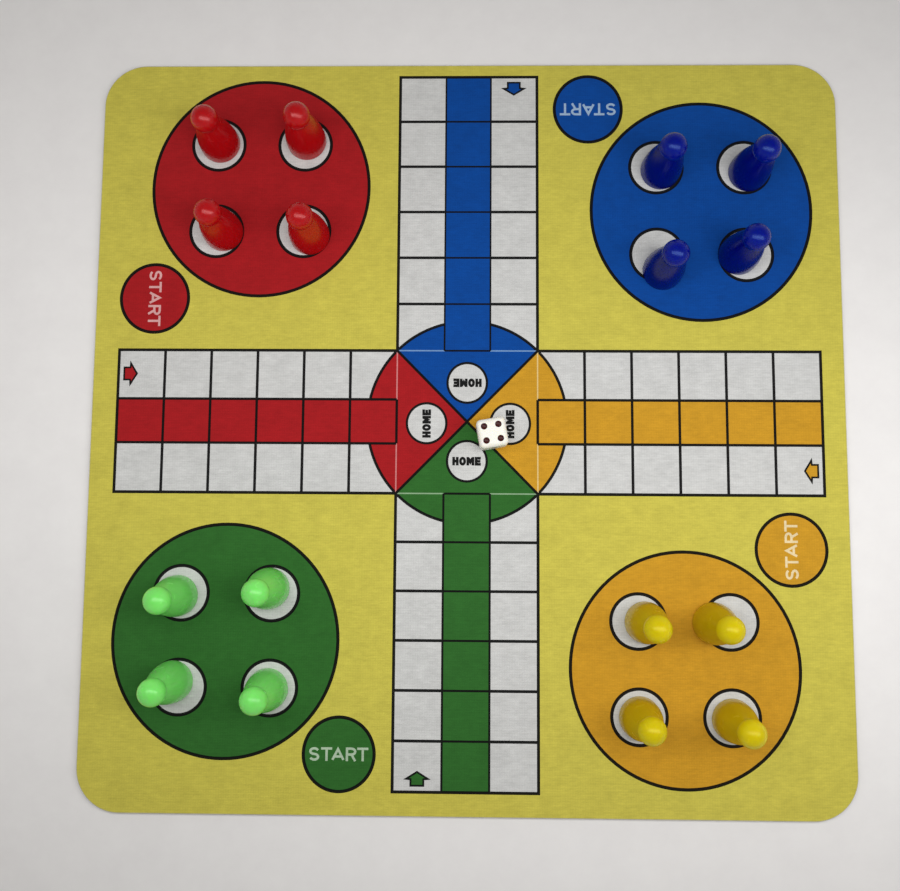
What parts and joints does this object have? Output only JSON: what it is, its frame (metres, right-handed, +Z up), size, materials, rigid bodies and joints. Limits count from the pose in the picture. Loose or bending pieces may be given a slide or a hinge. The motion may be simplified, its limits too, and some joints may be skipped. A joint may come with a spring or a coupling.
{
  "type": "ludo game mat set",
  "caption": "Round-cornered square cloth mat printed with a cross-shaped race track, corner yards and start discs, set with ball-headed pawns and a spotted die.",
  "frame": {"origin": "centre of the mat's underside, on the table", "axes": "+Z up out of the printed face, +X to the right of the print and +Y to its far side, where the blue arm ends"},
  "size_m": [0.28, 0.28, 0.0278],
  "materials": {
    "foam_rubber": "matt foam rubber with a fine non-slip waffle underneath",
    "printed_cloth": "flat woven cloth, dye printed",
    "red_plastic": "glossy, slightly translucent moulded plastic",
    "blue_plastic": "glossy, slightly translucent moulded plastic",
    "green_plastic": "glossy, slightly translucent moulded plastic",
    "yellow_plastic": "glossy, slightly translucent moulded plastic",
    "die_plastic": "tumbled ivory-white plastic with dark painted dimples"
  },
  "bodies": {
    "mat": {"rubber_base": "foam_rubber", "cloth_top": "printed_cloth"},
    "red_pawn_1": {"red_pawn_1": "red_plastic"},
    "red_pawn_2": {"red_pawn_2": "red_plastic"},
    "red_pawn_3": {"red_pawn_3": "red_plastic"},
    "red_pawn_4": {"red_pawn_4": "red_plastic"},
    "blue_pawn_1": {"blue_pawn_1": "blue_plastic"},
    "blue_pawn_2": {"blue_pawn_2": "blue_plastic"},
    "blue_pawn_3": {"blue_pawn_3": "blue_plastic"},
    "blue_pawn_4": {"blue_pawn_4": "blue_plastic"},
    "green_pawn_1": {"green_pawn_1": "green_plastic"},
    "green_pawn_2": {"green_pawn_2": "green_plastic"},
    "green_pawn_3": {"green_pawn_3": "green_plastic"},
    "green_pawn_4": {"green_pawn_4": "green_plastic"},
    "yellow_pawn_1": {"yellow_pawn_1": "yellow_plastic"},
    "yellow_pawn_2": {"yellow_pawn_2": "yellow_plastic"},
    "yellow_pawn_3": {"yellow_pawn_3": "yellow_plastic"},
    "yellow_pawn_4": {"yellow_pawn_4": "yellow_plastic"},
    "die": {"die": "die_plastic"}
  },
  "joints": [
    {"name": "lift_red_pawn_1", "type": "slide", "parent": "mat", "child": "red_pawn_1", "axis": [0, 0, 1], "range_m": [0, 0.05]},
    {"name": "lift_red_pawn_2", "type": "slide", "parent": "mat", "child": "red_pawn_2", "axis": [0, 0, 1], "range_m": [0, 0.05]},
    {"name": "lift_red_pawn_3", "type": "slide", "parent": "mat", "child": "red_pawn_3", "axis": [0, 0, 1], "range_m": [0, 0.05]},
    {"name": "lift_red_pawn_4", "type": "slide", "parent": "mat", "child": "red_pawn_4", "axis": [0, 0, 1], "range_m": [0, 0.05]},
    {"name": "lift_blue_pawn_1", "type": "slide", "parent": "mat", "child": "blue_pawn_1", "axis": [0, 0, 1], "range_m": [0, 0.05]},
    {"name": "lift_blue_pawn_2", "type": "slide", "parent": "mat", "child": "blue_pawn_2", "axis": [0, 0, 1], "range_m": [0, 0.05]},
    {"name": "lift_blue_pawn_3", "type": "slide", "parent": "mat", "child": "blue_pawn_3", "axis": [0, 0, 1], "range_m": [0, 0.05]},
    {"name": "lift_blue_pawn_4", "type": "slide", "parent": "mat", "child": "blue_pawn_4", "axis": [0, 0, 1], "range_m": [0, 0.05]},
    {"name": "lift_green_pawn_1", "type": "slide", "parent": "mat", "child": "green_pawn_1", "axis": [0, 0, 1], "range_m": [0, 0.05]},
    {"name": "lift_green_pawn_2", "type": "slide", "parent": "mat", "child": "green_pawn_2", "axis": [0, 0, 1], "range_m": [0, 0.05]},
    {"name": "lift_green_pawn_3", "type": "slide", "parent": "mat", "child": "green_pawn_3", "axis": [0, 0, 1], "range_m": [0, 0.05]},
    {"name": "lift_green_pawn_4", "type": "slide", "parent": "mat", "child": "green_pawn_4", "axis": [0, 0, 1], "range_m": [0, 0.05]},
    {"name": "lift_yellow_pawn_1", "type": "slide", "parent": "mat", "child": "yellow_pawn_1", "axis": [0, 0, 1], "range_m": [0, 0.05]},
    {"name": "lift_yellow_pawn_2", "type": "slide", "parent": "mat", "child": "yellow_pawn_2", "axis": [0, 0, 1], "range_m": [0, 0.05]},
    {"name": "lift_yellow_pawn_3", "type": "slide", "parent": "mat", "child": "yellow_pawn_3", "axis": [0, 0, 1], "range_m": [0, 0.05]},
    {"name": "lift_yellow_pawn_4", "type": "slide", "parent": "mat", "child": "yellow_pawn_4", "axis": [0, 0, 1], "range_m": [0, 0.05]},
    {"name": "lift_die", "type": "slide", "parent": "mat", "child": "die", "axis": [0, 0, 1], "range_m": [0, 0.05]}
  ]
}
